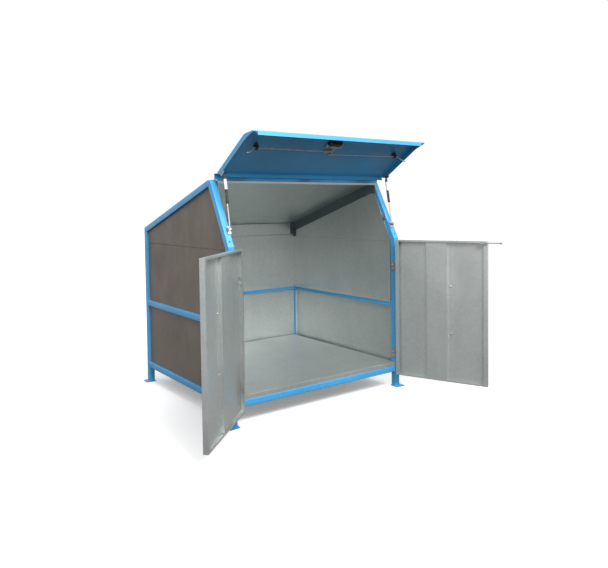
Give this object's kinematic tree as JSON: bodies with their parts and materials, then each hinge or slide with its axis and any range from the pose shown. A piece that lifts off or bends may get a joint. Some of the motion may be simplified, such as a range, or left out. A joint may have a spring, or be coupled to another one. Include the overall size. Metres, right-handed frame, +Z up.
{
  "type": "recycling bin station",
  "caption": "Steel bin enclosure with a tube frame, recessed side panels, sloping roof, gas-strut lid with rod lock and sheet doors that open the sack bay.",
  "frame": {"origin": "centre of the four anchor holes, at floor level", "axes": "+Z up, the front with doors and lid faces -Y, +X to the right of a person facing the front"},
  "size_m": [1.9597, 1.9906, 1.6841],
  "materials": {
    "frame_blue": "semi-gloss powder coat",
    "panel_taupe": "matt powder coat",
    "galvanised": "galvanised sheet with a fine spangle",
    "bright_zinc": "zinc-plated steel",
    "black_plastic": "black moulded plastic",
    "black_metal": "black gloss paint",
    "chrome_rod": "polished rod",
    "dark_trim": "dark grey paint"
  },
  "bodies": {
    "frame": {"front_left_post": "frame_blue", "front_right_post": "frame_blue", "rear_left_post": "frame_blue", "rear_right_post": "frame_blue", "left_slope_tube": "frame_blue", "right_slope_tube": "frame_blue", "left_peak_tube": "frame_blue", "right_peak_tube": "frame_blue", "left_roof_tube": "frame_blue", "right_roof_tube": "frame_blue", "left_side_rails": "frame_blue", "right_side_rails": "frame_blue", "front_bottom_rail": "frame_blue", "rear_rails": "frame_blue", "foot_plates": "frame_blue", "floor_tray": "galvanised", "floor_bearers": "galvanised", "roof_sheet": "galvanised", "left_lining": "galvanised", "right_lining": "galvanised", "rear_lining": "galvanised", "left_lower_panel": "panel_taupe", "right_lower_panel": "panel_taupe", "left_upper_panel": "panel_taupe", "right_upper_panel": "panel_taupe", "left_gable_panel": "panel_taupe", "right_gable_panel": "panel_taupe", "rear_lower_panel": "panel_taupe", "rear_upper_panel": "panel_taupe", "hinge_rail": "frame_blue", "lid_hinge_pins": "bright_zinc", "door_post_hinges": "bright_zinc", "strut_brackets": "bright_zinc", "rod_catches": "bright_zinc", "lid_stops": "frame_blue", "edge_trims": "dark_trim"},
    "lid": {"lid_panel": "frame_blue", "lid_hinge_leaves": "bright_zinc", "lock_case": "black_plastic", "lock_plate": "bright_zinc", "lock_escutcheon": "black_plastic", "rod_guides": "black_plastic", "strut_lid_plates": "bright_zinc"},
    "lock_spindle": {"lock_handle": "black_plastic", "lock_cam": "bright_zinc"},
    "left_bolt": {"left_lock_rod": "bright_zinc"},
    "right_bolt": {"right_lock_rod": "bright_zinc"},
    "left_strut_lower": {"left_strut_rod": "chrome_rod"},
    "right_strut_lower": {"right_strut_rod": "chrome_rod"},
    "left_strut_upper": {"left_strut_cylinder": "black_metal"},
    "right_strut_upper": {"right_strut_cylinder": "black_metal"},
    "left_door": {"left_door_pan": "galvanised", "left_door_stiffener": "galvanised", "left_door_hinges": "bright_zinc", "left_door_screws": "bright_zinc"},
    "right_door": {"right_door_pan": "galvanised", "right_door_stiffener": "galvanised", "right_door_hinges": "bright_zinc", "right_door_screws": "bright_zinc", "door_stop_bar": "bright_zinc"}
  },
  "joints": [
    {"name": "lid_hinge", "type": "hinge", "parent": "frame", "child": "lid", "pos_m": [0, -0.475, 1.47], "axis": [1, 0, 0], "range_deg": [0, 96.71]},
    {"name": "left_door_hinge", "type": "hinge", "parent": "frame", "child": "left_door", "pos_m": [-0.629, -0.6545, 0.54], "axis": [0, 0, 1], "range_deg": [0, 137]},
    {"name": "right_door_hinge", "type": "hinge", "parent": "frame", "child": "right_door", "pos_m": [0.629, -0.6545, 0.54], "axis": [0, 0, -1], "range_deg": [0, 112]},
    {"name": "lock_turn", "type": "hinge", "parent": "lid", "child": "lock_spindle", "pos_m": [-0.005, -0.71127, 1.61649], "axis": [0, 0.527, 0.8499], "range_deg": [0, 90]},
    {"name": "left_bolt_slide", "type": "slide", "parent": "lid", "child": "left_bolt", "axis": [-1, -0.0016, 0.001], "range_m": [0, 0.0106]},
    {"name": "right_bolt_slide", "type": "slide", "parent": "lid", "child": "right_bolt", "axis": [0.9996, -0.0232, 0.0144], "range_m": [0, 0.0106]},
    {"name": "left_strut_swing", "type": "hinge", "parent": "frame", "child": "left_strut_lower", "pos_m": [-0.643, -0.592, 1.144], "axis": [-1, 0, 0], "range_deg": [0, 15.75]},
    {"name": "right_strut_swing", "type": "hinge", "parent": "frame", "child": "right_strut_lower", "pos_m": [0.643, -0.592, 1.144], "axis": [-1, 0, 0], "range_deg": [0, 15.75]},
    {"name": "left_strut_slide", "type": "slide", "parent": "left_strut_lower", "child": "left_strut_upper", "axis": [0, -0.1673, -0.9859], "range_m": [0, 0.03682]},
    {"name": "right_strut_slide", "type": "slide", "parent": "right_strut_lower", "child": "right_strut_upper", "axis": [0, -0.1673, -0.9859], "range_m": [0, 0.03682]}
  ],
  "couplings": [
    {"joint": "left_bolt_slide", "follows": "lock_turn", "m_per_rad": 0.0067},
    {"joint": "right_bolt_slide", "follows": "lock_turn", "m_per_rad": 0.0067},
    {"joint": "left_strut_swing", "follows": "lid_hinge", "ratio": 0.1623},
    {"joint": "right_strut_swing", "follows": "lid_hinge", "ratio": 0.1623},
    {"joint": "left_strut_slide", "follows": "lid_hinge", "m_per_rad": 0.021756},
    {"joint": "right_strut_slide", "follows": "lid_hinge", "m_per_rad": 0.021756}
  ]
}
